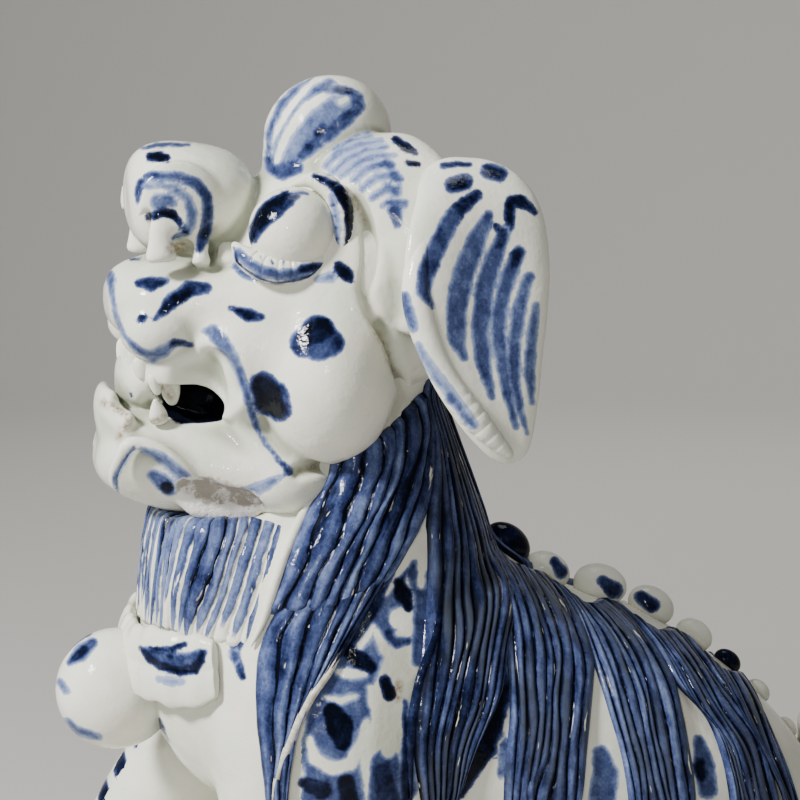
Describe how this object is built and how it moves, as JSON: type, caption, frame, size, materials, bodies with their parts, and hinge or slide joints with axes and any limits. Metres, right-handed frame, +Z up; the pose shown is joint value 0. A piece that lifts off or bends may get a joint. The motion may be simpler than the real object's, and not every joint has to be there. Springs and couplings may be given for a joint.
{
  "type": "porcelain guardian lion figurine",
  "caption": "Seated guardian lion figurine in blue and white glazed porcelain, with long ears, open mouth, combed mane and a bell at the breast, on a low base.",
  "frame": {"origin": "centre of the underside of the low base", "axes": "+Z up, the lion faces -Y, and its left side is at +X"},
  "size_m": [0.116, 0.22, 0.2694],
  "materials": {
    "glazed_porcelain": "clear, glossy, faintly grey-green glaze over white porcelain, with cobalt blue brushwork under it"
  },
  "bodies": {
    "root": {"lion": "glazed_porcelain"}
  },
  "joints": []
}
